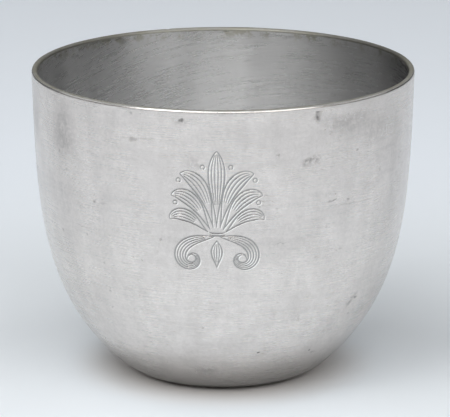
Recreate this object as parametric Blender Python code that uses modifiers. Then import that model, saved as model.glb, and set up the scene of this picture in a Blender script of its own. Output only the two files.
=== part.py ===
"""A small drinking cup of spun pewter, with a round bottom and no foot or handle.

Three pieces are soldered together. The body is a spun shell, open at the mouth and with a round hole in its
floor. A disc drops into that hole from inside, on a bevelled seat, and a lip wire runs round the top edge of
the wall. Lengths are in metres and +Z is up. The cup stands on the plane z = 0, with its axis on Z.

Every piece is turned, so each is drawn as one outline in the plane of the radius and the height, and then
carried round the axis.
"""

import math

import bmesh
import bpy
from mathutils import Vector

# Overall form
RIM_DIAMETER = 0.0794
CUP_HEIGHT = 0.0643

# Wall of the body, upwards from the standing flat: a heel arc, then one curve through the bowl and the flank
WALL_THICKNESS = 0.0011
STANDING_DIAMETER = 0.0312
HEEL_RADIUS = 0.0100
HEEL_TURN = math.radians(42.0)
BOWL_REACH = 0.0223
FLANK_REACH = 0.0262
WALL_LEAN = math.radians(1.7)

# Lip wire: flat underneath, half round on top
LIP_WIDTH = 0.0012
LIP_HEIGHT = 0.0012

# Disc that closes the floor. It stands clear of the table, which leaves the cup a ring to stand on
FLOOR_HOLE_DIAMETER = 0.0250
DISC_THICKNESS = 0.0008
DISC_RECESS = 0.0003
SEAT_SLOPE = math.radians(45.0)

# Space that the solder fills between two pieces
SOLDER_GAP = 0.0003

# Fineness of the turned surfaces
STEPS_ROUND = 96
HEEL_STEPS = 6
WALL_STEPS = 15
LIP_STEPS = 10
SHARP_EDGE = math.radians(30.0)
MERGE_DISTANCE = 1e-6

# Finish of each piece: colour, roughness
BODY_FINISH = ((0.56, 0.55, 0.53), 0.38)
LIP_FINISH = ((0.62, 0.61, 0.58), 0.30)
DISC_FINISH = ((0.50, 0.49, 0.47), 0.45)

# Slope of the wall where the lip sits on it
TOP_SLOPE = math.pi / 2 - WALL_LEAN


def direction(slope):
    """Unit vector in the plane of radius and height that climbs at this angle from the horizontal."""
    return Vector((math.cos(slope), math.sin(slope)))


def inward(slope):
    """Unit vector square to a wall of this slope, pointing into the cup."""
    return Vector((-math.sin(slope), math.cos(slope)))


def lip_centre():
    """Centre of the lip's half-round top, which just touches the cup's full width and full height."""
    return Vector((RIM_DIAMETER / 2 - LIP_WIDTH / 2, CUP_HEIGHT - LIP_WIDTH / 2))


def lip_seat():
    """Outer corner of the lip wire's flat underside, flush with the outside of the wall."""
    side = LIP_HEIGHT - LIP_WIDTH / 2
    return lip_centre() - inward(TOP_SLOPE) * LIP_WIDTH / 2 - direction(TOP_SLOPE) * side


def wall_line():
    """The outside of the wall, bottom to top, as pairs of a point and the slope there.

    The heel is an arc that turns up from the flat. A cubic curve follows, which leaves the heel at its slope,
    reaches through the bowl, and arrives under the lip at the lean of the wall.
    """
    line = []
    for step in range(HEEL_STEPS + 1):
        turn = HEEL_TURN * step / HEEL_STEPS
        point = Vector((STANDING_DIAMETER / 2, HEEL_RADIUS)) - inward(turn) * HEEL_RADIUS
        line.append((point, turn))
    start = line[-1][0]
    end = lip_seat() - direction(TOP_SLOPE) * SOLDER_GAP
    bowl = start + direction(HEEL_TURN) * BOWL_REACH
    flank = end - direction(TOP_SLOPE) * FLANK_REACH
    for step in range(1, WALL_STEPS + 1):
        t = step / WALL_STEPS
        s = 1 - t
        point = start * s**3 + bowl * 3 * s * s * t + flank * 3 * s * t * t + end * t**3
        along = (bowl - start) * s * s + (flank - bowl) * 2 * s * t + (end - flank) * t * t
        line.append((point, math.atan2(along.y, along.x)))
    return line


def seat_radius(height, clearance=0.0):
    """Radius of the bevelled seat round the floor hole at a height, drawn in square to it by a clearance."""
    return FLOOR_HOLE_DIAMETER / 2 + height * math.tan(SEAT_SLOPE) - clearance / math.cos(SEAT_SLOPE)


def body_outline():
    """Down the outside of the wall, across the standing flat, up the seat, and back up the inside."""
    wall = wall_line()
    outside = [point for point, slope in reversed(wall)]
    inside = [point + inward(slope) * WALL_THICKNESS for point, slope in wall]
    seat = [Vector((seat_radius(height), height)) for height in (0.0, WALL_THICKNESS)]
    return outside + seat + inside


def disc_outline():
    """From the axis over the top face, down the bevelled edge, and back to the axis underneath."""
    top = DISC_RECESS + DISC_THICKNESS
    return [
        Vector((0.0, top)),
        Vector((seat_radius(top, SOLDER_GAP), top)),
        Vector((seat_radius(DISC_RECESS, SOLDER_GAP), DISC_RECESS)),
        Vector((0.0, DISC_RECESS)),
    ]


def lip_outline():
    """Over the half-round top from inside to outside, then down to the flat seat and across it."""
    outline = []
    for step in range(LIP_STEPS + 1):
        turn = math.pi * step / LIP_STEPS
        outward = inward(TOP_SLOPE) * math.cos(turn) + direction(TOP_SLOPE) * math.sin(turn)
        outline.append(lip_centre() + outward * LIP_WIDTH / 2)
    outline.append(lip_seat())
    outline.append(lip_seat() + inward(TOP_SLOPE) * LIP_WIDTH)
    return outline


def pewter(name, colour, roughness):
    """A plain metal material."""
    material = bpy.data.materials.new(name)
    material.use_nodes = True
    shader = material.node_tree.nodes["Principled BSDF"]
    shader.inputs["Base Color"].default_value = (*colour, 1.0)
    shader.inputs["Metallic"].default_value = 1.0
    shader.inputs["Roughness"].default_value = roughness
    return material


def turned_piece(name, outline, closed, finish, collection):
    """Carries an outline once round the Z axis and gives the mesh its shading and its material."""
    drawn = bmesh.new()
    corners = [drawn.verts.new((point.x, 0.0, point.y)) for point in outline]
    for first, second in zip(corners, corners[1:]):
        drawn.edges.new((first, second))
    if closed:
        drawn.edges.new((corners[-1], corners[0]))
    profile = bpy.data.meshes.new(f"{name}_outline")
    drawn.to_mesh(profile)
    drawn.free()

    piece = bpy.data.objects.new(name, profile)
    collection.objects.link(piece)
    screw = piece.modifiers.new("turn", "SCREW")
    screw.axis = "Z"
    screw.angle = math.tau
    screw.steps = STEPS_ROUND
    screw.render_steps = STEPS_ROUND
    screw.use_merge_vertices = True
    screw.merge_threshold = MERGE_DISTANCE

    evaluated = piece.evaluated_get(bpy.context.evaluated_depsgraph_get())
    turned = bpy.data.meshes.new_from_object(evaluated)
    turned.name = name
    piece.modifiers.clear()
    piece.data = turned
    bpy.data.meshes.remove(profile)
    turned.shade_smooth()
    turned.set_sharp_from_angle(angle=SHARP_EDGE)
    turned.materials.append(pewter(name, *finish))
    return piece


def main():
    """Empties the scene and makes the three pieces."""
    for thing in list(bpy.data.objects):
        bpy.data.objects.remove(thing)
    cup = bpy.data.collections.new("jefferson_cup")
    bpy.context.scene.collection.children.link(cup)
    turned_piece("cup_body", body_outline(), True, BODY_FINISH, cup)
    turned_piece("base_disc", disc_outline(), False, DISC_FINISH, cup)
    turned_piece("rim_wire", lip_outline(), True, LIP_FINISH, cup)


if __name__ == "__main__":
    main()
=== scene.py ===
"""Looks of a small round-bottomed pewter cup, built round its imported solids.

Three pieces replace the three solids, each where its solid is: the spun body with the ornament engraved in
front, the lip wire along its mouth, and the turned disc that closes its floor. The rest is a plain studio.
Lengths are in metres, +Z is up, and the engraved side faces -Y, towards the camera.

A place on the cup is given by its azimuth and its station. The azimuth is the angle round the axis, from 0
in front and growing to the right. The station is the distance along the outside of the wall, from the edge
of the standing flat up to the lip.
"""

import logging
import math
from collections.abc import Iterator
from dataclasses import dataclass
from enum import Enum
from functools import cached_property

import bpy
import numpy as np
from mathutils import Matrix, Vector


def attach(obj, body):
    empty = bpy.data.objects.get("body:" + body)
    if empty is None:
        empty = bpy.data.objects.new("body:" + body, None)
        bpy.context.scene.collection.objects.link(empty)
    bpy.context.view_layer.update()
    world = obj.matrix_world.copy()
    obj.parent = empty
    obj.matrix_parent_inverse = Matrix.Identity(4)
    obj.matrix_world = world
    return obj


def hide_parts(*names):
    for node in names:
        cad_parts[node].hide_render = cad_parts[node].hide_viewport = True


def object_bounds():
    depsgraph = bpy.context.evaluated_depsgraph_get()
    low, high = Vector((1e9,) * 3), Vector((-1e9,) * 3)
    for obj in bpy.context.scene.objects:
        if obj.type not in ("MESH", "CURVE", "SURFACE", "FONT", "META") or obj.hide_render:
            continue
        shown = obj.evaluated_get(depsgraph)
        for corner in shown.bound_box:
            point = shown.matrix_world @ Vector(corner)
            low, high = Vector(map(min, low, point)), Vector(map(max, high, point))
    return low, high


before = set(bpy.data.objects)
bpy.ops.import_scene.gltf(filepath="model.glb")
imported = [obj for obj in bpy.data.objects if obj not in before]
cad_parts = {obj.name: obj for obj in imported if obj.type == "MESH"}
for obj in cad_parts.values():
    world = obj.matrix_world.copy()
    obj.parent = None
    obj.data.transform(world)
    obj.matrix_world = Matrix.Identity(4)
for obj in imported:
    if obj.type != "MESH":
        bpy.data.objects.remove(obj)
CAD_LOW, CAD_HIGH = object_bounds()

log = logging.getLogger("cup")

MM = 0.001

Socket = bpy.types.NodeSocket
Input = Socket | float | tuple
Colour = tuple[float, float, float]
Span = tuple[float, float]
Array = np.ndarray


def smooth(value: Array) -> Array:
    """Eases a share from 0 to 1: three times its square less twice its cube, after clipping."""
    share = np.clip(value, 0.0, 1.0)
    return share * share * (3.0 - 2.0 * share)


def azimuths(columns: int) -> Array:
    """Azimuths of evenly spaced columns, with their seam behind."""
    return (np.arange(columns) / columns - 0.5) * math.tau


def turn_up(azimuth: Array, radius: Array, height: Array) -> Array:
    """Points round the axis, with their three coordinates along the last axis of the result."""
    x, y = radius * np.sin(azimuth), -radius * np.cos(azimuth)
    return np.stack(np.broadcast_arrays(x, y, height), axis=-1)


def cells(number: Array, rows_close: bool = False, columns_close: bool = False) -> Array:
    """Joins neighbours in a grid of vertex numbers into faces of four, which face outwards."""
    grid = np.pad(number, ((0, int(rows_close)), (0, int(columns_close))), mode="wrap")
    return np.stack([grid[:-1, :-1], grid[:-1, 1:], grid[1:, 1:], grid[1:, :-1]], axis=-1)


@dataclass(frozen=True)
class Stations:
    """Places along the outside of the wall: their stations, radii, heights and angles from the level."""

    station: Array
    radius: Array
    height: Array
    slope: Array

    def at(self, station: Array) -> "Stations":
        """Reads the places at given stations, by straight lines between the known ones."""
        known = (self.radius, self.height, self.slope)
        return Stations(station, *(np.interp(station, self.station, values) for values in known))

    def shifted(self, inwards: float | Array) -> tuple[Array, Array]:
        """Moves each place square to the wall, into the cup, and gives its new radius and height."""
        radius = self.radius - np.sin(self.slope) * inwards
        return radius, self.height + np.cos(self.slope) * inwards


@dataclass(frozen=True)
class Wall:
    """The form that the body was spun to, in the plane of radius and height.

    A heel arc leaves the standing flat and turns up, and one cubic curve carries on through the bowl and the
    flank to the lip.
    """

    rim_radius: float = CAD_HIGH.x
    cup_height: float = CAD_HIGH.z
    standing_radius: float = 15.6 * MM
    hole_radius: float = 12.5 * MM
    heel_radius: float = 10.0 * MM
    heel_turn: float = math.radians(42.0)
    bowl_reach: float = 22.3 * MM
    flank_reach: float = 26.2 * MM
    lean: float = math.radians(1.7)
    thickness: float = 1.1 * MM
    lip_width: float = 1.2 * MM
    lip_height: float = 1.2 * MM
    solder_gap: float = 0.3 * MM
    steps: int = 1200

    @staticmethod
    def along(slope: float) -> Array:
        """Unit vector that climbs at a slope."""
        return np.array((math.cos(slope), math.sin(slope)))

    @property
    def up(self) -> Array:
        """Unit vector up the wall under the lip."""
        return self.along(math.pi / 2 - self.lean)

    @property
    def inward(self) -> Array:
        """Unit vector square to the wall there, into the cup."""
        return self.along(math.pi - self.lean)

    def beside(self, start: Array, inwards: Array, rise: Array) -> Array:
        """Points under the lip, at distances inwards from a starting point and up the wall from it."""
        return start + inwards[:, None] * self.inward + rise[:, None] * self.up

    @property
    def lip_seat(self) -> Array:
        """Outer corner of the lip's flat underside, whose half-round top touches the cup's full size."""
        half = self.lip_width / 2
        centre = np.array((self.rim_radius - half, self.cup_height - half))
        return centre - self.inward * half - self.up * (self.lip_height - half)

    @cached_property
    def trace(self) -> Stations:
        """The outside, from the flat to the gap under the lip.

        The heel is a circle's arc. The curve is the cubic of four points: its start, a point reached from
        there at the heel's slope, a point reached back from the end at the wall's lean, and its end.
        """
        turn = np.linspace(0.0, self.heel_turn, self.steps // 4)
        heel = np.stack([np.sin(turn), 1.0 - np.cos(turn)], axis=1) * self.heel_radius
        heel[:, 0] += self.standing_radius
        start, end = heel[-1], self.lip_seat - self.up * self.solder_gap
        bowl = start + self.along(self.heel_turn) * self.bowl_reach
        flank = end - self.up * self.flank_reach
        t = np.linspace(0.0, 1.0, self.steps)[:, None]
        s = 1.0 - t
        curve = start * s**3 + bowl * 3 * s * s * t + flank * 3 * s * t * t + end * t**3
        points = np.concatenate([heel[:-1], curve])
        step = np.diff(points, axis=0)
        station = np.append(0.0, np.cumsum(np.hypot(step[:, 0], step[:, 1])))
        run = np.gradient(points, station, axis=0)
        return Stations(station, points[:, 0], points[:, 1], np.arctan2(run[:, 1], run[:, 0]))

    @property
    def length(self) -> float:
        """Length of the outside, from the standing flat to the gap under the lip."""
        return float(self.trace.station[-1])

    def station_at(self, height: float) -> float:
        """The station at a height over the table."""
        return float(np.interp(height, self.trace.height, self.trace.station))


@dataclass(frozen=True)
class Stroke:
    """One tapering band of parallel cuts, swung along a curve that starts at a point of the ornament.

    Lengths are in millimetres here.

    Attributes:
        start: Where it starts, across and up from the ornament's centre.
        heading: Its first direction, in degrees from level.
        length: Its length.
        bends: How fast it turns, in degrees a millimetre, at equal shares of its length.
        width: Its greatest width.
        cuts: How many cuts lie side by side in it.
        widest: The share of its length at which it is widest.
        swell: Above 1 its ends are drawn out, and below 1 they are round.
        mirrored: Whether the same stroke is cut on the other side too.
        fine: Half the width of an inner cut.
        bold: Half the width of the two outer cuts.
        inner: The shares of its length between which the inner cuts run.
        thin: The share of its width that a cut keeps at its ends.
    """

    start: Span
    heading: float
    length: float
    bends: tuple[float, ...] = (0.0, 0.0)
    width: float = 0.0
    cuts: int = 1
    widest: float = 0.5
    swell: float = 1.3
    mirrored: bool = True
    fine: float = 0.120
    bold: float = 0.165
    inner: Span = (0.0, 1.0)
    thin: float = 0.35

    def cut_lines(self, spacing: float = 0.04) -> Iterator[tuple[Array, Array, Array]]:
        """Lays out the cuts.

        The heading is the running sum of the bends, and the middle line is the running sum of the headings.
        Each cut stands off from that line by its share of half the width, times a sine that swells from 0 to
        1 and back, with its top moved to the widest place.

        Args:
            spacing: Distance between the points of a cut.

        Yields:
            The points across, the points up and the half width of one cut.
        """
        count = max(8, int(self.length / spacing))
        t = np.linspace(0.0, 1.0, count)
        step = self.length / (count - 1)
        bend = np.radians(np.interp(t, np.linspace(0.0, 1.0, len(self.bends)), self.bends))
        heading = math.radians(self.heading) + np.cumsum(bend) * step - bend[0] * step / 2
        across = self.start[0] + np.cumsum(np.cos(heading)) * step
        up = self.start[1] + np.cumsum(np.sin(heading)) * step
        spread = np.sin(np.pi * t ** (math.log(0.5) / math.log(self.widest))) ** self.swell
        for cut in range(self.cuts):
            share = 2.0 * cut / (self.cuts - 1) - 1.0 if self.cuts > 1 else 0.0
            outer = cut in (0, self.cuts - 1)
            first, last = (0.0, 1.0) if outer else self.inner
            run = (t >= first) & (t <= last)
            offset = share * self.width / 2 * spread
            x = (across - np.sin(heading) * offset)[run]
            y = (up + np.cos(heading) * offset)[run]
            taper = np.sqrt(np.sin(np.pi * np.linspace(0.02, 0.98, run.sum())))
            half = (self.bold if outer else self.fine) * (self.thin + (1.0 - self.thin) * taper)
            yield x, y, half
            if self.mirrored:
                yield -x, y, half


@dataclass(frozen=True)
class Palmette:
    """A fan of seven lobes over two volutes, the same left and right, cut with a fine graver."""

    azimuth: float = math.radians(-1.875)
    height: float = 44.15 * MM
    size: float = 0.97
    depth: float = 0.055 * MM
    sharpness: float = 1.5
    burr: float = 0.022 * MM
    burr_shift: Span = (0.17, -0.17)
    burr_width: float = 1.2
    burr_start: Span = (0.7, 1.1)
    # Painted highlight: how far below 0 the burr takes the darkness.
    burr_highlight: float = 0.95
    shade: float = 1.15
    shade_fall: float = 0.8
    reach: float = 3.4
    dullness: float = 0.28
    search_half: float = 0.15
    strokes: tuple[Stroke, ...] = (
        Stroke((0.0, -4.0), 90, 16.2, width=3.4, cuts=6, widest=0.70, swell=0.75, mirrored=False,
               inner=(0.30, 0.95)),
        Stroke((0.7, -4.1), 78, 14.4, (1, -2, -7, -15), 3.0, 5, 0.70, 0.75, inner=(0.38, 0.94)),
        Stroke((1.3, -4.5), 61, 12.0, (3, -3, -9.5, -22), 2.8, 5, 0.68, 0.75, inner=(0.40, 0.93)),
        Stroke((1.8, -5.0), 39, 9.6, (6, -5, -14, -34), 2.5, 5, 0.66, 0.75, inner=(0.36, 0.92)),
        Stroke((0.5, -6.0), -12, 18.4, (4, -13, -30, -62), 2.3, 5, 0.42, inner=(0.10, 0.86)),
        Stroke((0.0, -6.9), -90, 6.0, width=2.2, cuts=5, widest=0.42, mirrored=False, inner=(0.14, 0.80)),
    )
    collars: tuple[float, ...] = (-5.15, -5.65)
    beads: tuple[Span, ...] = ((2.9, 8.9), (7.9, 6.0), (8.6, 1.2))
    bead_radius: float = 0.42

    def all_strokes(self) -> Iterator[Stroke]:
        """Every stroke: those of the table, the two arcs of the collar and the rings of the beads."""
        yield from self.strokes
        for up in self.collars:
            yield Stroke((-1.5, up), -14, 3.1, (9, 9), mirrored=False)
        turn, around = math.degrees(1 / self.bead_radius), math.tau * self.bead_radius
        for across, up in self.beads:
            yield Stroke((across, up - self.bead_radius), 0, around, (turn, turn), bold=0.12)

    def carve(self, across: Array, up: Array) -> tuple[Array, Array]:
        """Works out how deep each point of a grid is cut.

        Each point of a cut is laid on the grid, and each grid point near it keeps the least distance to any
        cut, in half widths. Within one half width the floor is a cosine, deepest in the middle. The graver
        leans, so it throws a burr up along the lower right of each cut: the same grid of distances, moved
        over by the burr's shift. A highlight is painted along the burr. The metal round the cuts stays a
        little dull.

        Args:
            across: Grid of distances across the ornament in millimetres, rows by columns.
            up: Distance up the ornament of each row, evenly spaced.

        Returns:
            Depth below the wall in metres, negative on the burr, and how dark the metal is there: 1 in the
            cut, a little above 0 round it and below 0 on the burr, where the highlight is painted.
        """
        nearest = np.full(across.shape, self.reach)
        grid_step = np.array((up[1] - up[0], np.diff(across, axis=1).mean()))
        stencil = math.ceil(self.reach * self.search_half / grid_step.min())
        shifts = np.arange(-stencil, stencil + 1)
        down, right = (shift.ravel() for shift in np.meshgrid(shifts, shifts, indexing="ij"))
        rows, columns = (count - 1 for count in across.shape)
        for stroke in self.all_strokes():
            for line in stroke.cut_lines():
                x, y, half = (values[:, None] * self.size for values in line)
                row = np.clip(np.rint((y - up[0]) / grid_step[0]).astype(int) + down, 0, rows)
                first = across[row, 0]
                spacing = (across[row, -1] - first) / columns
                column = np.clip(np.rint((x - first) / spacing).astype(int) + right, 0, columns)
                distance = np.hypot(across[row, column] - x, up[row] - y) / half
                np.minimum.at(nearest, (row, column), distance)
        cut = np.cos(np.minimum(nearest, 1.0) * math.pi / 2) ** self.sharpness
        move = np.rint(self.burr_shift[::-1] / grid_step).astype(int)
        moved = np.roll(nearest, move, axis=(0, 1)) / self.burr_width
        start, end = self.burr_start
        burr = np.cos(np.minimum(moved, 1.0) * math.pi / 2) * smooth((nearest - start) / (end - start))
        dull = smooth((self.reach - nearest) / (self.reach - 1.0))
        dark = np.clip(self.shade - self.shade_fall * nearest, 0.0, 1.0)
        dark += self.dullness * dull - self.burr_highlight * burr
        return self.depth * cut - self.burr * burr, np.clip(dark, -0.5, 1.0)


class Side(Enum):
    """The two sides of the spun sheet, as the number of the material that each takes."""

    OUTSIDE = 0
    INSIDE = 1


@dataclass(frozen=True)
class Surface:
    """A mesh as plain arrays.

    Attributes:
        points: Vertices.
        faces: Groups of faces with equal counts of corners, each a table of vertex numbers.
        around: Azimuth of each vertex.
        station: Station of each vertex.
        sides: Material number of every face, where there are two.
        groove: How dark the cuts make each vertex, where there are cuts: below 0 on the burrs, where a
            highlight is painted.
    """

    points: Array
    faces: tuple[Array, ...]
    around: Array
    station: Array
    sides: Array | None = None
    groove: Array | None = None

    def piece(self, name: str, map_radius: float, sharp: float = math.radians(40)) -> bpy.types.Object:
        """Makes the Blender object.

        Its map, called turned, holds the azimuth times one radius, and the station, both in metres. The faces
        that end at the seam behind take the azimuth half a turn to the right.

        Args:
            name: The piece's name.
            map_radius: The radius that azimuths are multiplied by.
            sharp: Angle between two faces from which their edge stays sharp.

        Returns:
            The object, at the origin.
        """
        numbers = np.concatenate([group.ravel() for group in self.faces])
        used, corner = np.unique(numbers, return_inverse=True)
        splits = np.cumsum([group.size for group in self.faces])[:-1]
        groups = [part.reshape(group.shape) for part, group in zip(np.split(corner, splits), self.faces)]
        points = self.points.reshape(-1, 3)[used]
        mesh = bpy.data.meshes.new(name)
        mesh.from_pydata(points, [], [face for group in groups for face in group.tolist()])
        mesh.shade_smooth()
        mesh.set_sharp_from_angle(angle=sharp)
        if self.sides is not None:
            mesh.polygons.foreach_set("material_index", self.sides.astype(np.int32))

        azimuth = self.around.ravel()[used][corner]
        behind = np.concatenate([
            np.repeat(points[group][..., 0].mean(axis=1) > 0.0, group.shape[1]) for group in groups
        ])
        azimuth = np.where(behind & (azimuth < -math.pi / 2), azimuth + math.tau, azimuth)
        place = np.stack([azimuth * map_radius, self.station.ravel()[used][corner]], axis=1)
        mesh.uv_layers.new(name="turned").uv.foreach_set("vector", place.astype(np.float32).ravel())
        if self.groove is not None:
            attribute = mesh.attributes.new("groove", "FLOAT", "POINT")
            attribute.data.foreach_set("value", self.groove[used].astype(np.float32))
        mesh.validate()
        piece = bpy.data.objects.new(name, mesh)
        bpy.context.scene.collection.objects.link(piece)
        return piece


def turned(outline: Array, station: Array, columns: int, dents: float | Array = 0.0) -> Surface:
    """Carries an outline round the axis.

    Args:
        outline: Radius and height of each point, going up outside and down inside. Where it starts and ends
            on the axis, triangles close it there, and elsewhere its last point meets its first.
        station: The station that each point gets.
        columns: Faces round the axis.
        dents: Amount by which each point is drawn towards the outline's middle, points by columns.

    Returns:
        The skin.
    """
    around, along = np.meshgrid(azimuths(columns), station)
    arm = outline.mean(axis=0) - outline
    arm /= np.hypot(arm[:, 0], arm[:, 1])[:, None]
    radius, height = (outline[:, axis, None] + arm[:, axis, None] * dents for axis in (0, 1))
    number = np.arange(around.size).reshape(around.shape)
    if outline[0, 0] > 0.0:
        faces = (cells(number, rows_close=True, columns_close=True).reshape(-1, 4),)
    else:
        number[[0, -1]] = number[[0, -1], :1]
        grid = cells(number, columns_close=True)
        faces = (grid[1:-1].reshape(-1, 4), grid[0, :, 1:], grid[-1, :, :3])
    return Surface(turn_up(around, radius, height), faces, around, along)


def report(piece: bpy.types.Object) -> None:
    """Logs the size of a finished piece."""
    mesh = piece.data
    mesh.calc_loop_triangles()
    log.info("%s: %d vertices, %d triangles", piece.name, len(mesh.vertices), len(mesh.loop_triangles))


@dataclass
class SpunBody:
    """The body: one sheet of pewter, spun to the wall's form, with a bevelled hole in its floor."""

    wall: Wall
    ornament: Palmette
    columns: int = 192
    outside_rows: int = 60
    inside_rows: int = 27
    patch_columns: int = 16
    patch_rows: int = 22
    patch_cuts: int = 15
    corner_points: int = 4
    rows_under: int = 3
    seat_slope: float = math.radians(45)
    edge_radius: float = 0.004 * MM
    hairline: float = 0.002 * MM
    support: float = 0.15 * MM
    floor_support: float = 0.8 * MM
    flat_support: float = 1.2 * MM
    seat_break: Span = (0.06 * MM, 0.05 * MM)
    hole_break: tuple[float, float, float] = (0.05 * MM, 0.12 * MM, 0.02 * MM)
    top_band: float = 2 * MM
    wave_height: float = 0.006 * MM
    wave_fade: Span = (0.2, 0.15)
    waves: tuple[tuple[int, float, float], ...] = (
        (3, 31.0, 0.4), (5, 17.0, 2.1), (8, 11.0, 4.0), (13, 7.0, 1.2),
    )

    def outside(self, azimuth: Array, station: Array, depth: float | Array = 0.0) -> Array:
        """Points of the outside, a little uneven, as the hand-held tool left them.

        The unevenness is a sum of waves, each a sine round the cup times a sine up the wall, and it fades to
        nothing at the lip and at the standing flat.

        Args:
            azimuth: Azimuth of each point.
            station: Station of each point.
            depth: How far it is cut in.

        Returns:
            Their coordinates, along the last axis.
        """
        up = station / self.wall.length
        waves = sum(
            np.sin(turns * azimuth + phase) * np.sin(math.tau * station / (length * MM) + 2 * phase)
            for turns, length, phase in self.waves
        )
        low, high = self.wave_fade
        off = waves * self.wave_height * smooth(up / low) * smooth((1.0 - up) / high)
        return turn_up(azimuth, *self.wall.trace.at(station).shifted(off + depth))

    def outline_above(self) -> tuple[Array, Array]:
        """Over the top of the wall and down the inside to the hole, then out along the standing flat.

        The top edge has two small round corners. The inside is the outside moved in by the sheet's thickness.

        Returns:
            Points as radius and height, and their stations.
        """
        wall, trace = self.wall, self.wall.trace
        turn, edge = np.linspace(0.0, math.pi / 2, self.corner_points), self.edge_radius
        inset, rise = edge * (1.0 - np.cos(turn)), edge * np.sin(turn)
        shoulder = np.array((trace.radius[-1], trace.height[-1]))
        shoulder += wall.up * (wall.solder_gap - self.hairline - edge)
        corners = wall.beside(
            shoulder,
            np.concatenate([[0.0], inset, wall.thickness - inset[::-1], [wall.thickness]]),
            np.concatenate([[-edge], rise, rise[::-1], [-edge]]),
        )
        stations = np.append(wall.length - self.support,
                             np.linspace(wall.length - self.top_band, 0.0, self.inside_rows))
        inner = np.stack(trace.at(stations).shifted(wall.thickness), axis=1)
        seat = wall.hole_radius + wall.thickness * math.tan(self.seat_slope)
        (out, down), (near, far, up) = self.seat_break, self.hole_break
        floor = np.array([
            (seat + self.floor_support, wall.thickness),
            (seat + out, wall.thickness),
            (seat, wall.thickness - down),
            (wall.hole_radius + near, up),
            (wall.hole_radius + far, 0.0),
            (wall.standing_radius - self.flat_support, 0.0),
        ])
        top = np.full(len(corners), wall.length)
        under = -np.abs(floor[:, 0] - wall.standing_radius)
        return np.concatenate([corners, inner, floor]), np.concatenate([top, stations, under])

    @staticmethod
    def strip(coarse: Array, fine: Array, flipped: bool) -> Array:
        """Joins a coarse edge to a finer one beside it, with one face for each coarse step.

        Args:
            coarse: Vertex numbers of the coarse edge.
            fine: Vertex numbers of the fine edge, with equally many steps to each coarse one.
            flipped: Whether the fine edge is on the right of someone who walks along the coarse one.

        Returns:
            One row of vertex numbers for each face, facing outwards.
        """
        cuts = (len(fine) - 1) // (len(coarse) - 1)
        corners = np.arange(len(coarse) - 1)[:, None] * cuts + np.arange(cuts, -1, -1)
        faces = np.column_stack([coarse[:-1], coarse[1:], fine[corners]])
        return faces[:, ::-1] if flipped else faces

    def surface(self) -> Surface:
        """Builds the whole body as one closed skin.

        Stations by columns give a grid that is closed both ways. In front, the cells under the ornament give
        way to a patch cut finer, and the cells round the patch take its edge points as corners, so that the
        skin has no gap.

        Returns:
            The skin, with the engraving in it.
        """
        wall, ornament, cuts = self.wall, self.ornament, self.patch_cuts
        rows = np.linspace(0.0, wall.length, self.outside_rows + 1)
        outer_rows = np.append(rows[:-1], (wall.length - self.support, wall.length))
        above, above_stations = self.outline_above()
        around, station = np.meshgrid(azimuths(self.columns), np.append(outer_rows, above_stations))
        outer = len(outer_rows)
        points = np.concatenate([
            self.outside(around[:outer], station[:outer]),
            turn_up(around[outer:], above[:, :1], above[:, 1:]),
        ])

        middle = wall.station_at(ornament.height)
        low = round(middle / rows[1] - self.patch_rows / 2)
        left = round(ornament.azimuth / math.tau * self.columns) + (self.columns - self.patch_columns) // 2
        high, right = low + self.patch_rows, left + self.patch_columns
        patch_around, patch_station = np.meshgrid(
            (np.linspace(left, right, self.patch_columns * cuts + 1) / self.columns - 0.5) * math.tau,
            np.linspace(rows[low], rows[high], self.patch_rows * cuts + 1),
        )
        across = (patch_around - ornament.azimuth) * wall.trace.at(patch_station).radius / MM
        depth, dark = ornament.carve(across, (patch_station[:, 0] - middle) / MM)
        patch = self.outside(patch_around, patch_station, depth)

        number = np.arange(around.size).reshape(around.shape)
        fine = number.size + np.arange(patch_around.size).reshape(patch_around.shape)
        number[low:high + 1, left:right + 1] = fine[::cuts, ::cuts]
        keep = np.ones(number.shape, bool)
        keep[low - 1:high + 1, left:right] = False
        keep[low:high, left - 1:right + 1] = False
        faces = (
            cells(number, rows_close=True, columns_close=True)[keep],
            cells(fine).reshape(-1, 4),
            self.strip(number[low - 1, left:right + 1], fine[0], flipped=False),
            self.strip(number[high + 1, left:right + 1], fine[-1], flipped=True),
            self.strip(number[low:high + 1, left - 1], fine[:, 0], flipped=True),
            self.strip(number[low:high + 1, right + 1], fine[:, -1], flipped=False),
        )
        side = np.full(number.shape, Side.OUTSIDE.value)
        side[outer + self.corner_points:-self.rows_under] = Side.INSIDE.value
        sides = np.full(sum(len(group) for group in faces), Side.OUTSIDE.value)
        sides[:keep.sum()] = side[keep]
        return Surface(
            points=np.append(points, patch),
            faces=faces,
            around=np.append(around, patch_around),
            station=np.append(station, patch_station),
            sides=sides,
            groove=np.append(np.zeros(number.size), dark),
        )

    def build(self) -> bpy.types.Object:
        """Makes the body, dressed on both sides."""
        piece = self.surface().piece("spun_body", self.wall.rim_radius)
        piece.data.materials.append(OutsideFinish().material("outside_pewter", MARKS, self.wall))
        piece.data.materials.append(InsideFinish().material("inside_pewter", INSIDE_MARKS, self.wall))
        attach(piece, "root")
        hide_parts("cup_body")
        return piece


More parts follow.
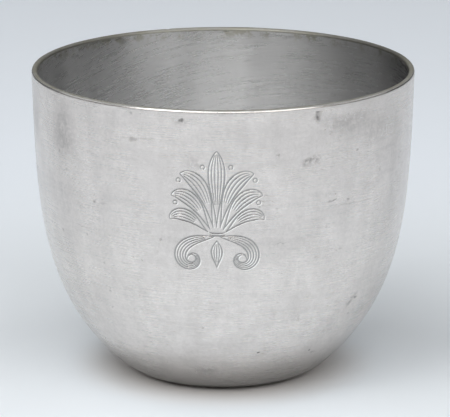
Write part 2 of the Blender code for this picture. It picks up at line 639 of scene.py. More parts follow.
@dataclass
class LipWire:
    """The half-round wire soldered along the mouth, its flat side down on the wall."""

    wall: Wall
    columns: int = 384
    top_steps: int = 16
    side_steps: int = 3
    corner: float = 0.004 * MM
    wear: float = 0.012 * MM
    wear_level: float = 1.5
    waves: tuple[tuple[int, float, float], ...] = ((7, 1.0, 0.5), (17, 4.0, 0.6), (29, 0.0, 0.4))
    nick_azimuth: float = math.radians(-162)
    nick_width: float = math.radians(0.45)
    nick_depth: float = 0.12 * MM

    def outline(self) -> Array:
        """Up the outer side, over the half-round top, down the inner side and back along the seat."""
        wall, width, half = self.wall, self.wall.lip_width, self.wall.lip_width / 2
        side = wall.lip_height - half
        step = np.arange(1, self.side_steps) / self.side_steps
        turn = np.linspace(0.0, math.pi, self.top_steps + 1)
        inwards = np.concatenate([
            [0.0], 0.0 * step, half * (1.0 - np.cos(turn)), width + 0.0 * step,
            [width, width - self.corner, self.corner],
        ])
        rise = np.concatenate([
            [self.corner], self.corner + (side - self.corner) * step, side + half * np.sin(turn),
            side * (1.0 - step), [self.corner, 0.0, 0.0],
        ])
        return wall.beside(wall.lip_seat, inwards, rise)

    def dents(self, outline: Array) -> Array:
        """How worn the wire is: slow waves round it on top, and one nick behind on the left."""
        azimuth = azimuths(self.columns)
        top = smooth((outline[:, 1] - outline[:, 1].min()) / self.wall.lip_height)[:, None]
        waves = sum(np.sin(turns * azimuth + phase) * high for turns, phase, high in self.waves)
        nick = np.exp(-((azimuth - self.nick_azimuth) / self.nick_width) ** 2)
        return top * (self.wear * np.maximum(self.wear_level + waves, 0.0) + self.nick_depth * nick)

    def build(self) -> bpy.types.Object:
        """Makes the wire and dresses it. Its stations are shares of the way round its outline."""
        outline = self.outline()
        step = np.roll(outline, -1, axis=0) - outline
        length = np.hypot(step[:, 0], step[:, 1])
        share = (np.cumsum(length) - length) / length.sum()
        skin = turned(outline, share, self.columns, self.dents(outline))
        piece = skin.piece("lip_wire", self.wall.rim_radius)
        piece.data.materials.append(LipFinish().material())
        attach(piece, "root")
        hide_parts("rim_wire")
        return piece


@dataclass
class FloorDisc:
    """The disc that closes the floor, faced on a lathe, with solder run round its top edge."""

    wall: Wall
    recess: float = 0.3 * MM
    columns: int = 144
    turning_pitch: float = 0.9 * MM
    turning_depth: float = 0.012 * MM
    steps_a_turn: int = 6
    solder_width: float = 0.7 * MM
    solder_rise: float = 0.10 * MM
    solder_foot: float = 0.02 * MM
    solder_steps: int = 6
    low_break: float = 0.05 * MM
    high_inset: float = 0.06 * MM
    high_land: Span = (0.08 * MM, 0.03 * MM)
    hairline: float = 0.02 * MM
    centre_radius: float = 0.7 * MM
    centre_depth: float = 0.22 * MM

    def tooling(self, radius: Array) -> Array:
        """Depth of a tool's marks: scallops, as the absolute value of a sine, and the centre's cone."""
        scallops = np.abs(np.sin(math.pi * radius / self.turning_pitch)) * self.turning_depth
        return scallops + np.clip(1.0 - radius / self.centre_radius, 0.0, 1.0) * self.centre_depth

    def outline(self) -> Array:
        """From the axis under the disc, out and up the bevelled edge, over the solder and back."""
        top = self.wall.thickness
        edge_low = self.wall.hole_radius - self.hairline + self.recess
        edge_high = edge_low - self.recess + top - self.high_inset
        turns = round(edge_low / self.turning_pitch * self.steps_a_turn)
        under = np.linspace(0.0, edge_low - self.low_break, turns)
        over = np.linspace(edge_high - self.solder_width, 0.0, turns)
        bead = np.arange(1, self.solder_steps) / self.solder_steps
        solder = top - self.solder_foot + np.sin(math.pi * bead) * self.solder_rise
        return np.concatenate([
            np.stack([under, self.recess + self.tooling(under)], axis=1),
            [(edge_low, self.recess + self.low_break)],
            [(edge_high, top - below) for below in self.high_land],
            np.stack([edge_high - self.solder_width * bead, solder], axis=1),
            np.stack([over, top - self.tooling(over)], axis=1),
        ])

    def build(self) -> bpy.types.Object:
        """Makes the disc and dresses it. Its stations are distances from the axis."""
        outline = self.outline()
        piece = turned(outline, outline[:, 0], self.columns).piece("floor_disc", self.wall.rim_radius)
        piece.data.materials.append(DiscFinish().material("disc_pewter"))
        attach(piece, "root")
        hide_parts("base_disc")
        return piece


class Tree:
    """Writes the nodes of a material or of the world."""

    quarter_turn = 0.25

    def __init__(self, owner: bpy.types.Material | bpy.types.World) -> None:
        """Starts from the nodes that its owner has."""
        owner.use_nodes = True
        self.owner = owner
        self.nodes = owner.node_tree.nodes

    def fill(self, node: bpy.types.Node, sockets: dict[str | int, Input]) -> None:
        """Links another socket to each socket of a node, or sets it to a value."""
        for name, value in sockets.items():
            target = node.inputs[name]
            if isinstance(value, Socket):
                self.owner.node_tree.links.new(value, target)
            else:
                target.default_value = (*value, 1.0) if target.type == "RGBA" else value

    def add(self, kind: str, sockets: dict[str | int, Input], output: str | int = 0,
            **settings: object) -> Socket:
        """Adds a node.

        Args:
            kind: Its type, without the words that all shader nodes start with.
            sockets: What goes into it, by the name or number of the socket.
            output: Which of its results to give back.
            **settings: Its own options.

        Returns:
            The result's socket.
        """
        node = self.nodes.new(f"ShaderNode{kind}")
        for name, value in settings.items():
            setattr(node, name, value)
        self.fill(node, sockets)
        return node.outputs[output]

    def sum(self, *terms: Input) -> Socket:
        """Adds numbers."""
        total = terms[0]
        for term in terms[1:]:
            total = self.add("Math", {0: total, 1: term}, operation="ADD")
        return total

    def product(self, first: Input, second: Input) -> Socket:
        """Multiplies two numbers."""
        return self.add("Math", {0: first, 1: second}, operation="MULTIPLY")

    def product_sum(self, first: Input, second: Input, third: Input) -> Socket:
        """Multiplies two numbers and adds a third."""
        return self.add("Math", {0: first, 1: second, 2: third}, operation="MULTIPLY_ADD")

    def swing(self, value: Input, height: float) -> Socket:
        """Turns a noise that runs from 0 to 1 into a swing round 0, as high as twice its height says."""
        return self.product_sum(value, 2 * height, -height)

    def eased(self, value: Input, low: float, high: float, start: float = 0.0, end: float = 1.0) -> Socket:
        """Eases from start to end as a value goes from low to high."""
        limits = {"Value": value, "From Min": low, "From Max": high, "To Min": start, "To Max": end}
        return self.add("MapRange", limits, interpolation_type="SMOOTHSTEP")

    def blend(self, share: Input, first: Input, second: Input) -> Socket:
        """Mixes two colours."""
        return self.add("Mix", {0: share, 6: first, 7: second}, 2, data_type="RGBA")

    def between(self, share: Input, first: Input, second: Input) -> Socket:
        """Mixes two numbers."""
        return self.add("Mix", {0: share, 2: first, 3: second}, data_type="FLOAT")

    def dimmed(self, colour: Input, tone: Input) -> Socket:
        """Multiplies a colour by a tone, where 1 leaves it as it is."""
        return self.add("VectorMath", {0: colour, "Scale": tone}, operation="SCALE")

    def parts(self, vector: Socket) -> tuple[Socket, Socket, Socket]:
        """Splits a vector."""
        x = self.add("SeparateXYZ", {0: vector})
        return x, x.node.outputs[1], x.node.outputs[2]

    @cached_property
    def place(self) -> Socket:
        """The place on the piece, in metres."""
        return self.add("TexCoord", {}, "Object")

    @cached_property
    def xyz(self) -> tuple[Socket, Socket, Socket]:
        """The same place, split."""
        return self.parts(self.place)

    @cached_property
    def turned_map(self) -> Socket:
        """The piece's own map: the azimuth times the rim's radius, and the station."""
        return self.add("UVMap", {}, uv_map="turned")

    @cached_property
    def station(self) -> Socket:
        """How far up the wall a place is, by the piece's own map, or by what a finish puts here."""
        return self.parts(self.turned_map)[1]

    def finish(self, colour: Socket, roughness: Socket, relief: Socket, depth: float, anisotropy: Input,
               bare: Input = 1.0) -> bpy.types.Material:
        """Feeds the metal shader.

        Args:
            colour: The metal's colour.
            roughness: Its roughness.
            relief: A field whose bumps the light catches.
            depth: The height of those bumps in metres.
            anisotropy: How far the fine lines draw a highlight out across them.
            bare: Share of the surface that is bare metal, where the rest is a dull crust.

        Returns:
            The finished material.
        """
        self.fill(self.nodes["Principled BSDF"], {
            "Base Color": colour,
            "Roughness": roughness,
            "Metallic": bare,
            "Anisotropic": anisotropy,
            "Anisotropic Rotation": self.quarter_turn,
            "Tangent": self.add("Tangent", {}, direction_type="RADIAL", axis="Z"),
            "Normal": self.add("Bump", {"Height": relief, "Distance": depth}),
        })
        return self.owner


@dataclass(frozen=True, kw_only=True)
class Pattern:
    """A random field that varies the metal.

    Attributes:
        swing: How far it moves the metal's tone either way.
        rough: How far it moves the roughness.
        rise: Its share in the relief.
    """

    swing: float = 0.0
    rough: float = 0.0
    rise: float = 0.0


@dataclass(frozen=True)
class Noise(Pattern):
    """A soft noise, mostly between 0.3 and 0.7. Its roughness is how strong its finer layers are."""

    scale: float
    detail: float = 2.0
    roughness: float = 0.5

    def draw(self, tree: Tree, place: Socket | None = None, output: int = 0) -> Socket:
        """Adds it to a material, on the place on the piece or on another vector."""
        sockets = {"Scale": self.scale, "Detail": self.detail, "Roughness": self.roughness}
        return tree.add("TexNoise", {"Vector": place or tree.place, **sockets}, output)


@dataclass(frozen=True)
class Lines(Pattern):
    """Fine lines that run round the cup: a noise squeezed along the wall and stretched round it.

    A tilt makes the lines climb to the right, by its tangent, and a bow takes some of that climb off towards
    the right: the climb is the tangent times x, less the bow times the square of x.

    Attributes:
        pitch: Distance between lines.
        reach: Length of a line before it fades.
        tilt: The angle at which they climb.
        bow: How fast the climb lessens to the right, per metre.
    """

    pitch: float
    reach: float
    tilt: float = 0.0
    bow: float = 0.0

    def draw(self, tree: Tree) -> Socket:
        """Adds them to a material."""
        x, y, _ = tree.xyz
        slope = tree.product_sum(x, self.bow, -math.tan(self.tilt))
        stretched = tree.add("CombineXYZ", {
            0: tree.product(x, 1 / self.reach),
            1: tree.product(y, 1 / self.reach),
            2: tree.product(tree.product_sum(x, slope, tree.station), 1 / self.pitch),
        })
        return Noise(1.0, 3.0, 0.6).draw(tree, stretched)


class Kind(Enum):
    """What a mark on the metal is: the share of its size at full strength, and how far it breaks up."""

    PIT = (0.50, 0.0)
    SPOT = (0.15, 0.35)
    SMUDGE = (0.0, 0.95)
    # Mostly painted shade, and painted light where the strength is below 0; a few are smudges.
    SHADE = (0.0, 0.35)
    SCRATCH = (0.2, 0.6)


@dataclass(frozen=True)
class Mark:
    """A mark left by use, or a soft patch of painted shade, which is painted light where its strength is
    below 0.

    Attributes:
        kind: What it is.
        azimuth: Where round the cup, in degrees.
        height: How high over the table, in millimetres.
        width: Half its length along its own direction, in millimetres.
        breadth: Half its breadth.
        strength: How much darker it is, or brighter where this is below 0.
        tilt: The angle at which it climbs to the right, in degrees.
    """

    kind: Kind
    azimuth: float
    height: float
    width: float
    breadth: float
    strength: float
    tilt: float = 0.0


def listed(kinds: dict[Kind, tuple[tuple[float, ...], ...]]) -> tuple[Mark, ...]:
    """Makes the marks of a table, which has their numbers under each kind."""
    return tuple(Mark(kind, *numbers) for kind, rows in kinds.items() for numbers in rows)


MARKS = listed({
    Kind.PIT: (
        (-12.1, 62.2, 0.7, 0.42, 0.42), (13.8, 11.2, 0.36, 0.34, 0.8), (37.6, 9.9, 0.34, 0.32, 0.75),
        (51.0, 21.0, 0.55, 0.42, 0.45),
    ),
    Kind.SPOT: (
        (-27.4, 62.8, 0.55, 0.3, 0.3), (-27.0, 57.4, 1.3, 0.6, 0.36, -3), (-57.4, 51.7, 0.55, 0.5, 0.3),
        (-53.9, 48.3, 0.5, 0.55, 0.28), (-41.6, 43.0, 0.55, 0.5, 0.4), (-59.1, 34.6, 0.55, 0.45, 0.3),
        (-46.0, 35.4, 0.45, 0.4, 0.26), (-18.9, 37.1, 0.45, 0.35, 0.24), (-40.0, 30.1, 0.45, 0.4, 0.25),
        (-39.4, 24.6, 0.4, 0.35, 0.36), (-39.6, 23.9, 0.55, 0.4, 0.4), (-40.8, 20.1, 0.45, 0.35, 0.28),
        (-28.4, 32.7, 0.4, 0.35, 0.24), (-25.4, 32.3, 0.4, 0.3, 0.24), (-7.0, 17.8, 0.5, 0.35, 0.24),
        (43.1, 53.8, 0.6, 0.35, 0.42, -10), (35.3, 45.4, 0.25, 0.5, 0.26), (40.1, 43.7, 0.5, 0.4, 0.32),
        (16.0, 43.7, 0.5, 0.3, 0.26), (16.0, 54.9, 0.45, 0.25, 0.3), (10.8, 44.3, 0.45, 0.35, 0.22),
        (38.6, 33.3, 0.5, 0.4, 0.26), (53.8, 48.2, 0.55, 0.45, 0.28), (32.4, 38.6, 0.45, 0.35, 0.26),
        (37.0, 33.1, 0.4, 0.35, 0.24), (29.4, 32.4, 0.4, 0.35, 0.24), (50.4, 17.3, 0.45, 0.4, 0.3),
    ),
    Kind.SMUDGE: (
        (-12.3, 61.7, 2.2, 1.4, 0.22), (-6.1, 6.5, 4.5, 2.4, 0.3), (28.2, 62.3, 0.9, 1.7, 0.5),
        (26.0, 53.0, 2.9, 1.3, 0.62, 14), (40.4, 9.1, 1.0, 0.6, 0.45), (49.0, 20.6, 3.2, 1.3, 0.42, 50),
        (26.4, 19.0, 0.6, 1.6, 0.24, 20), (-54.0, 55.5, 7.5, 7.5, 0.1), (37.0, 60.0, 8.0, 3.2, 0.17),
        (52.0, 57.0, 6.5, 5.0, 0.14), (-8.8, 53.9, 3.2, 2.6, 0.16, -30),
    ),
    # The shades at -77, -57, -55 and 62 degrees are painted shade, darker bands of reflection down the sides,
    # and the one at 19 degrees is painted shade beside the ornament; those at 44 and 28.4 degrees are a dark
    # patch and a smudge on the metal.
    Kind.SHADE: (
        (-55.0, 57.0, 9.0, 7.0, 0.15, 80), (-57.0, 42.0, 20.0, 9.0, 0.1, 90), (19.0, 38.5, 11.0, 9.0, 0.08),
        (-77.0, 57.0, 9.0, 6.0, 0.18, 90), (62.0, 45.0, 22.0, 8.0, 0.09, 90), (44.0, 59.0, 9.0, 5.0, 0.1),
        (28.4, 62.2, 1.3, 1.9, 0.3),
    ),
    Kind.SCRATCH: (
        (-38.9, 43.0, 1.9, 0.22, 0.22), (34.0, 44.1, 1.7, 0.3, 0.46, 9), (45.0, 42.7, 12.0, 0.2, 0.16, -2),
        (13.1, 46.6, 2.6, 0.22, 0.22, -2), (13.3, 45.5, 2.2, 0.2, 0.2, -4),
        (13.0, 44.7, 1.9, 0.18, 0.18, -3), (17.6, 36.4, 2.6, 0.16, 0.24, 6),
        (18.8, 30.0, 1.7, 0.16, 0.26, 12), (-49.0, 37.0, 4.2, 0.18, 0.18, -3),
        (-26.2, 57.7, 8.0, 0.16, 0.16, 2), (-28.0, 58.4, 7.5, 0.15, -0.12, 1),
    ),
})

INSIDE_MARKS = listed({
    Kind.SMUDGE: (
        (-125.0, 61.4, 2.4, 0.7, 0.4, 4), (-128.6, 62.9, 3.0, 1.0, 0.3), (-115.2, 59.0, 4.5, 2.6, 0.2),
        (-146.4, 62.2, 1.6, 1.2, 0.24), (159.2, 63.2, 3.0, 0.9, 0.34), (150.5, 58.6, 1.8, 0.5, 0.26),
        (141.2, 51.2, 1.4, 0.5, 0.26), (134.4, 57.0, 2.6, 1.2, 0.18),
    ),
    # The shade at 106 degrees is painted shade at the right end, and those with a strength below 0 are
    # painted light; the one at -133.4 degrees is a smudge.
    Kind.SHADE: (
        (106.0, 63.0, 11.0, 9.0, 0.36), (-112.0, 58.0, 12.0, 20.0, -0.1), (-137.0, 57.0, 15.0, 22.0, -0.2),
        (-162.0, 56.0, 11.0, 22.0, -0.1), (164.0, 51.0, 8.0, 7.0, -0.1), (-133.4, 53.0, 2.6, 1.3, 0.22),
    ),
})


MARK_EDGES = Noise(1400.0)
MARK_JITTER = 1.0 * MM
MARK_MOTTLE = Noise(900.0, 3.0, 0.7)
MARK_BREAKS = (0.35, 0.60)


def worn_and_shaded(tree: Tree, marks: tuple[Mark, ...], wall: Wall) -> Socket:
    """Adds up how dark marks make the metal, painted shade and painted light among them.

    Each mark is an ellipse on the piece's own map: the distance from its middle, in its own half sizes, eased
    from 1 in its core to 0 at its edge. Where the wall is narrower than the rim, an ellipse on the map is
    widened by as much. The noise that bends the map gives the marks uneven edges.

    Args:
        tree: The material.
        marks: The marks.
        wall: The wall's form.

    Returns:
        The sum of the marks' strengths.
    """
    edges = {0: MARK_EDGES.draw(tree, output=1), 1: (0.5, 0.5, 0.5)}
    jitter = tree.dimmed(tree.add("VectorMath", edges, operation="SUBTRACT"), MARK_JITTER)
    bent = tree.add("VectorMath", {0: jitter, 1: tree.turned_map}, operation="ADD")
    mottle = MARK_MOTTLE.draw(tree)
    total: Input = 0.0
    for mark in marks:
        core, broken = mark.kind.value
        station = wall.station_at(mark.height * MM)
        widen = wall.rim_radius / float(wall.trace.at(station).radius)
        local = tree.add("Mapping", {
            "Vector": bent,
            "Location": (math.radians(mark.azimuth) * wall.rim_radius, station, 0.0),
            "Rotation": (0.0, 0.0, math.radians(mark.tilt)),
            "Scale": (mark.width * MM * widen, mark.breadth * MM, 1.0),
        }, vector_type="TEXTURE")
        away = tree.add("VectorMath", {0: local}, "Value", operation="LENGTH")
        mask = tree.eased(away, core, 1.0, 1.0, 0.0)
        if broken:
            mask = tree.product(mask, tree.eased(mottle, *MARK_BREAKS, 1.0 - broken, 1.0))
        total = tree.product_sum(mask, mark.strength, total)
    return total


@dataclass(frozen=True)
class Finish:
    """Pewter with patterns in it, tarnished where its clouds are thick.

    Attributes:
        colour: The metal's colour.
        tarnish: Its colour where it is tarnished.
        clouded: How thick the clouds are where tarnish starts and where it is full, and its full share.
        roughness: The metal's roughness.
        anisotropy: How far its lines draw a highlight out.
        depth: The height of its relief.
        clouds: The clouds.
        patterns: Its other patterns.
    """

    colour: Colour
    tarnish: Colour
    clouded: tuple[float, float, float]
    roughness: float
    anisotropy: float
    depth: float
    clouds: Noise
    patterns: tuple[Noise | Lines, ...]

    def metal(self, tree: Tree, tarnished: Socket) -> Socket:
        """The metal's colour under its patterns, by the share of tarnish."""
        return tree.blend(tarnished, self.colour, self.tarnish)

    def ground(self, tree: Tree, marked: Input = 0.0) -> tuple[Socket, Socket, Socket]:
        """Lays the ground, which the wall shares with the lip.

        Args:
            tree: The material.
            marked: How dark marks make the metal, painted shade and painted light among them.

        Returns:
            Its colour, its roughness and its relief.
        """
        clouds = self.clouds.draw(tree)
        drawn = [(self.clouds, clouds), *((pattern, pattern.draw(tree)) for pattern in self.patterns)]
        low, high, share = self.clouded
        metal = self.metal(tree, tree.eased(clouds, low, high, 0.0, share))
        swings = [tree.swing(field, pattern.swing) for pattern, field in drawn if pattern.swing]
        roughs = [tree.swing(field, pattern.rough) for pattern, field in drawn if pattern.rough]
        rises = [tree.product(field, pattern.rise) for pattern, field in drawn if pattern.rise]
        tone = tree.sum(1.0, *swings, tree.product(marked, -1.0))
        return tree.dimmed(metal, tone), tree.sum(self.roughness, *roughs), tree.sum(*rises)

    def dressed(self, tree: Tree, ground: Socket) -> Socket:
        """The ground's colour with what lies on it, which is nothing here."""
        return ground

    def material(self, name: str, marks: tuple[Mark, ...] = (),
                 wall: Wall | None = None) -> bpy.types.Material:
        """Builds a material, with marks where there is a wall to place them on."""
        tree = Tree(bpy.data.materials.new(name))
        ground, roughness, relief = self.ground(tree, worn_and_shaded(tree, marks, wall) if wall else 0.0)
        return tree.finish(self.dressed(tree, ground), roughness, relief, self.depth, self.anisotropy)


@dataclass(frozen=True)
class OutsideFinish(Finish):
    """Satin pewter outside: fine rings left by polishing, clouds of tarnish, spots and scratches.

    Its colour is painted lighter and less warm towards the foot, it is darkened towards the table by painted
    shade with some grime, and the cuts are dark, with a painted highlight on their burrs.
    """

    colour: Colour = (0.706, 0.661, 0.626)
    tarnish: Colour = (0.575, 0.55, 0.53)
    clouded: tuple[float, float, float] = (0.52, 0.72, 0.30)
    roughness: float = 0.27
    anisotropy: float = 0.5
    depth: float = 0.010 * MM
    clouds: Noise = Noise(60.0, 3.0, 0.5, swing=0.12, rough=0.06)
    patterns: tuple[Noise | Lines, ...] = (
        Lines(0.26 * MM, 6 * MM, swing=0.09, rough=0.05, rise=1.0),
        Lines(1.3 * MM, 18 * MM, swing=0.07),
        Lines(26 * MM, 3.2 * MM, swing=0.10),
        Noise(130.0, 6.0, 0.82, swing=0.24),
        Noise(1700.0, 2.0, 0.7, swing=0.12, rise=0.4),
    )
    stains: Noise = Noise(170.0, 5.0, 0.75)
    stained: tuple[float, float, float, float] = (0.57, 0.72, 0.0, 0.07)
    mark_roughness: float = 0.25
    # Painted light: a lighter, less warm colour towards the foot, set against the warm floor that it
    # reflects, and the heights over which it gives way.
    foot_light_colour: Colour = (0.731, 0.693, 0.670)
    foot_light_span: Span = (16.5 * MM, 66 * MM)
    # Painted shade with some grime: the colour that the metal darkens to at the table, and the height up to
    # which it does.
    grime_and_shade: Colour = (0.328, 0.327, 0.322)
    grime_and_shade_height: float = 13 * MM
    cut_colour: Colour = (0.30, 0.30, 0.29)
    cut_share: float = 0.85
    # Painted highlight: how much brighter the burrs are made.
    burr_highlight_tone: float = 1.45

    def metal(self, tree: Tree, tarnished: Socket) -> Socket:
        """The metal's colour under its patterns, by the share of tarnish, painted lighter and less warm
        towards the foot to offset the light there.
        """
        # Painted light: the colour shifts towards the lighter, less warm one at the foot.
        risen = tree.eased(tree.xyz[2], *self.foot_light_span)
        return tree.blend(tarnished, tree.blend(risen, self.foot_light_colour, self.colour), self.tarnish)

    def ground(self, tree: Tree, marked: Input = 0.0) -> tuple[Socket, Socket, Socket]:
        """Lays the ground with its stains, and makes it rougher at its marks.

        Args:
            tree: The material.
            marked: How dark marks make the metal, painted shade and painted light among them.

        Returns:
            Its colour, its roughness and its relief.
        """
        dark = tree.sum(tree.eased(self.stains.draw(tree), *self.stained), marked)
        colour, roughness, relief = super().ground(tree, dark)
        return colour, tree.product_sum(marked, self.mark_roughness, roughness), relief

    def dressed(self, tree: Tree, ground: Socket) -> Socket:
        """The ground's colour with the cuts, a painted highlight on their burrs, and painted shade with some
        grime towards the table.
        """
        groove = tree.add("Attribute", {}, "Fac", attribute_name="groove")
        engraved = tree.blend(tree.eased(groove, 0.0, 1.0, 0.0, self.cut_share), ground, self.cut_colour)
        # Painted highlight: where the groove value is below 0, on the burrs, the colour is brightened.
        burr_highlighted = tree.dimmed(engraved, tree.eased(groove, -0.5, 0.0, self.burr_highlight_tone, 1.0))
        # Painted shade with some grime: the metal darkens towards the table, where it faces the shadow on the
        # floor.
        return tree.blend(tree.eased(tree.xyz[2], 0.0, self.grime_and_shade_height, 1.0, 0.0), burr_highlighted, self.grime_and_shade)


@dataclass(frozen=True)
class InsideFinish(Finish):
    """Pewter inside: coarser streaks from hand polishing, which cross at a narrow angle.

    It is olive with tarnish under the lip, and its colour is darkened towards the right as painted shade.
    """

    colour: Colour = (0.84, 0.84, 0.84)
    tarnish: Colour = (0.70, 0.70, 0.70)
    clouded: tuple[float, float, float] = (0.5, 0.75, 0.15)
    roughness: float = 0.28
    anisotropy: float = 0.86
    depth: float = 0.021 * MM
    clouds: Noise = Noise(110.0, 3.0, 0.6, swing=0.03, rough=0.02)
    patterns: tuple[Noise | Lines, ...] = (
        Lines(0.38 * MM, 10 * MM, math.radians(11), 3.0, swing=0.07, rough=0.04, rise=1.0),
        Lines(0.34 * MM, 6 * MM, swing=0.035, rise=1.0),
        Noise(1500.0, 2.0, 0.6, swing=0.02, rise=0.15),
    )
    olive: Colour = (0.56, 0.55, 0.48)
    olive_span: Span = (61.2 * MM, 63.4 * MM)
    patches: Noise = Noise(240.0, 5.0, 0.75)
    patched: Span = (0.46, 0.60)
    # Painted shade: the share of its brightness that the inside keeps at the right, and the distances to the
    # right over which it falls to it.
    shade_right: float = 0.54
    shade_right_span: Span = (8 * MM, 38 * MM)

    def metal(self, tree: Tree, tarnished: Socket) -> Socket:
        """The metal's colour under its patterns, by the share of tarnish, olive under the lip and darkened
        towards the right as painted shade.
        """
        x, _, height = tree.xyz
        stained = tree.product(tree.eased(height, *self.olive_span),
                               tree.eased(self.patches.draw(tree), *self.patched))
        metal = tree.blend(stained, super().metal(tree, tarnished), self.olive)
        # Painted shade: the colour is darkened towards the right end of the inside.
        return tree.dimmed(metal, tree.eased(x, *self.shade_right_span, 1.0, self.shade_right))


@dataclass(frozen=True)
class LipFinish:
    """The lip: like the wall on its sides, polished on its outer shoulder and olive with tarnish on top.

    Where a look starts or ends is two shares of the way round the wire's outline, from the outer side: it
    changes from the first to the second. Bare metal is a share of the top, and a larger one of the worn outer
    shoulder. At the back, past the back's distances behind the axis, the top is darkened towards its ends as
    painted shade: it keeps one share of its brightness on the right and another on the left, and each changes
    over its span of distances to the right.
    """

    outside: OutsideFinish = OutsideFinish()
    inside: InsideFinish = InsideFinish()
    shoulder: Colour = (0.66, 0.66, 0.65)
    crown: Colour = (0.30, 0.298, 0.275)
    olive: Colour = (0.22, 0.213, 0.175)
    inner: Colour = (0.36, 0.35, 0.305)
    bare: float = 0.25
    worn_bare: float = 0.80
    back: Span = (2 * MM, 14 * MM)
    # Painted shade: shares of brightness kept at the right and left ends of the top at the back, and their
    # spans.
    shade_right: float = 0.48
    shade_right_span: Span = (8 * MM, 32 * MM)
    shade_left: float = 0.72
    shade_left_span: Span = (-26 * MM, -13 * MM)
    side_end: Span = (0.197, 0.227)
    crown_start: Span = (0.232, 0.267)
    crown_end: Span = (0.49, 0.55)
    inside_start: Span = (0.56, 0.64)
    raggedness: float = 0.06
    polish: float = 0.16
    dullness: float = 0.50
    depth: float = 0.008 * MM
    patches: Noise = Noise(240.0, 5.0, 0.75, swing=0.20)
    patched: Span = (0.38, 0.62)

    def material(self) -> bpy.types.Material:
        """Builds the material. The stations in the piece's own map are shares of the way round the wire."""
        tree = Tree(bpy.data.materials.new("lip_pewter"))
        x, y, height = tree.xyz
        share, tree.station = tree.station, height
        outside, outside_roughness, relief = self.outside.ground(tree)
        inside, inside_roughness, _ = self.inside.ground(tree)
        patches = self.patches.draw(tree)
        ragged = tree.sum(share, tree.swing(patches, self.raggedness))
        on_side = tree.eased(share, *self.side_end, 1.0, 0.0)
        on_crown = tree.eased(share, *self.crown_start)
        past_crown = tree.eased(ragged, *self.crown_end)
        crusted = tree.product(on_crown, tree.between(past_crown, 1.0, 0.0))
        within = tree.eased(ragged, *self.inside_start)
        tarnished = tree.blend(tree.eased(patches, *self.patched), self.crown, self.olive)
        metal = tree.blend(past_crown, tree.blend(on_crown, self.shoulder, tarnished), self.inner)
        # Painted shade: at the back the top is darkened towards its right and left ends.
        stained = tree.product(tree.eased(x, *self.shade_right_span, 1.0, self.shade_right),
                               tree.eased(x, *self.shade_left_span, self.shade_left, 1.0))
        stained = tree.between(tree.eased(y, *self.back), 1.0, stained)
        mottled = tree.sum(1.0, tree.swing(patches, self.patches.swing))
        metal = tree.dimmed(metal, tree.product(stained, mottled))
        metal = tree.blend(on_side, tree.blend(within, metal, inside), outside)
        roughness = tree.eased(on_crown, 0.0, 1.0, self.polish, self.dullness)
        roughness = tree.between(within, roughness, inside_roughness)
        roughness = tree.between(on_side, roughness, outside_roughness)
        anisotropy = tree.sum(tree.product(on_side, self.outside.anisotropy),
                              tree.product(within, self.inside.anisotropy))
        bare = tree.eased(crusted, 0.0, 1.0, self.worn_bare, self.bare)
        bare = tree.between(on_side, tree.between(past_crown, bare, 1.0), 1.0)
        return tree.finish(metal, roughness, relief, self.depth, anisotropy, bare)


@dataclass(frozen=True)
class DiscFinish(Finish):
    """The disc: turned in fine rings, dull, and darker where liquid stood."""

    colour: Colour = (0.55, 0.545, 0.53)
    tarnish: Colour = (0.34, 0.33, 0.30)
    clouded: tuple[float, float, float] = (0.5, 0.7, 0.7)
    roughness: float = 0.42
    anisotropy: float = 0.45
    depth: float = 0.012 * MM
    clouds: Noise = Noise(160.0, 3.0, 0.6, swing=0.14)
    patterns: tuple[Noise | Lines, ...] = (
        Lines(0.22 * MM, 8 * MM, swing=0.12, rough=0.06, rise=1.0),
        Noise(1600.0, 2.0, 0.6, swing=0.10),
    )


@dataclass(frozen=True)
class Softbox:
    """A flat white lamp, hung so that it faces the cup.

    Its azimuth and its elevation over the table are in degrees, its distance is from the cup, and its
    brightness is how its face looks, where 1 is white paper in full light.
    """

    name: str
    azimuth: float
    elevation: float
    distance: float
    width: float
    height: float
    brightness: float

    def hang(self, target: Vector) -> None:
        """Adds the lamp, facing a target. Its power is pi times its area times its brightness."""
        lamp = bpy.data.lights.new(self.name, "AREA")
        lamp.shape = "RECTANGLE"
        lamp.size = self.width
        lamp.size_y = self.height
        lamp.energy = math.pi * self.width * self.height * self.brightness
        azimuth, elevation = math.radians(self.azimuth), math.radians(self.elevation)
        away = Vector(turn_up(azimuth, math.cos(elevation), math.sin(elevation)))
        hung = bpy.data.objects.new(self.name, lamp)
        hung.location = target + away * self.distance
        hung.rotation_euler = away.to_track_quat("Z", "Y").to_euler()
        bpy.context.scene.collection.objects.link(hung)


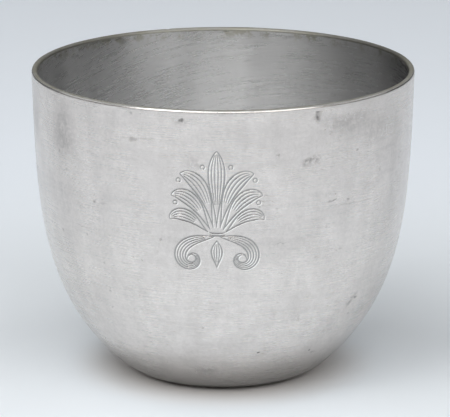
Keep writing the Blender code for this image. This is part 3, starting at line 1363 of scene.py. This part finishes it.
@dataclass
class Studio:
    """A pale table, a pale room and the camera."""

    floor_half: float = 3.0
    # Painted shadow: darker, warm paper round the cup's foot, where its shadow falls, and the distances over
    # which it gives way.
    foot_shadow_paper: Colour = (0.83, 0.79, 0.76)
    floor_mid: Colour = (0.845, 0.892, 0.93)
    floor_far: Colour = (0.873, 0.925, 0.985)
    foot_shadow_edge: Span = (17 * MM, 34 * MM)
    far_edge: Span = (60 * MM, 200 * MM)
    paper_roughness: float = 0.85
    paper_shine: float = 0.1
    ceiling: Colour = (0.20, 0.20, 0.20)
    wall_share: float = 0.22
    wall_edge: Span = (0.25, 0.55)
    boxes: tuple[Softbox, ...] = (
        Softbox("top_left", -90, 70, 1.0, 0.40, 0.40, 2.7),
        Softbox("top_right", 90, 70, 1.0, 0.40, 0.40, 2.0),
        Softbox("high_left", -42, 58, 1.0, 0.40, 0.40, 3.7),
        Softbox("high_mid", 0, 58, 1.0, 0.40, 0.40, 1.2),
        Softbox("high_right", 42, 58, 1.0, 0.40, 0.40, 1.1),
        Softbox("front_left", -42, 34, 1.5, 0.90, 0.60, 2.9),
        Softbox("front", 0, 34, 1.5, 0.90, 0.60, 2.2),
        Softbox("front_right", 42, 34, 1.5, 0.90, 0.60, 2.3),
        Softbox("low_right", 45, 12, 2.0, 1.50, 0.60, 0.6),
        Softbox("side_left", -95, 28, 2.0, 1.60, 0.80, 0.55),
        Softbox("side_right", 95, 28, 2.0, 1.60, 0.80, 0.5),
    )
    target: tuple[float, float, float] = (0.0, 0.0, 0.03)
    camera_distance: float = 0.700
    camera_height: float = 0.2222
    camera_pitch: float = math.radians(15.066)
    camera_yaw: float = math.radians(0.033)
    focal_pixels: float = 3457.0
    image_width: int = 450
    sensor_width: float = 36.0

    def lay_floor(self) -> None:
        """Lays the table: a darker, warm painted shadow round the cup's foot, and pale blue paper further
        away.
        """
        half = self.floor_half
        corners = [(-half, -half, 0.0), (half, -half, 0.0), (half, half, 0.0), (-half, half, 0.0)]
        mesh = bpy.data.meshes.new("table")
        mesh.from_pydata(corners, [], [(0, 1, 2, 3)])
        table = bpy.data.objects.new("table", mesh)
        bpy.context.scene.collection.objects.link(table)
        tree = Tree(bpy.data.materials.new("table_paper"))
        away = tree.add("VectorMath", {0: tree.place}, "Value", operation="LENGTH")
        # Painted shadow round the foot, darker and warmer than the paper beyond.
        paper = tree.blend(tree.eased(away, *self.foot_shadow_edge), self.foot_shadow_paper, self.floor_mid)
        paper = tree.blend(tree.eased(away, *self.far_edge), paper, self.floor_far)
        tree.fill(tree.nodes["Principled BSDF"], {
            "Base Color": paper,
            "Roughness": self.paper_roughness,
            "Specular IOR Level": self.paper_shine,
        })
        mesh.materials.append(tree.owner)

    def light(self) -> None:
        """Lights the ceiling softly, leaves the walls darker below it, and hangs the lamps."""
        tree = Tree(bpy.data.worlds.new("room"))
        _, _, rise = tree.parts(tree.add("TexCoord", {}, "Generated"))
        glow = tree.dimmed(self.ceiling, tree.eased(rise, *self.wall_edge, self.wall_share, 1.0))
        tree.fill(tree.nodes["Background"], {"Color": glow})
        bpy.context.scene.world = tree.owner
        for box in self.boxes:
            box.hang(Vector(self.target))

    def aim_camera(self) -> None:
        """Sets the camera in front of the cup, looking slightly down at it."""
        lens = bpy.data.cameras.new("camera")
        lens.sensor_fit = "HORIZONTAL"
        lens.sensor_width = self.sensor_width
        lens.lens = self.sensor_width * self.focal_pixels / self.image_width
        camera = bpy.data.objects.new("camera", lens)
        camera.location = (0.0, -self.camera_distance, self.camera_height)
        camera.rotation_euler = (math.pi / 2 - self.camera_pitch, 0.0, -self.camera_yaw)
        bpy.context.scene.collection.objects.link(camera)
        bpy.context.scene.camera = camera

    def build(self) -> None:
        """Sets up everything that isn't the cup."""
        bpy.context.scene.view_settings.view_transform = "Standard"
        self.aim_camera()
        self.lay_floor()
        self.light()


def main() -> None:
    """Builds the studio and the cup's pieces."""
    logging.basicConfig(level=logging.INFO, format="%(name)s: %(message)s")
    Studio().build()
    wall = Wall()
    for assembly in (SpunBody(wall, Palmette()), LipWire(wall), FloorDisc(wall)):
        report(assembly.build())


if __name__ == "__main__":
    main()
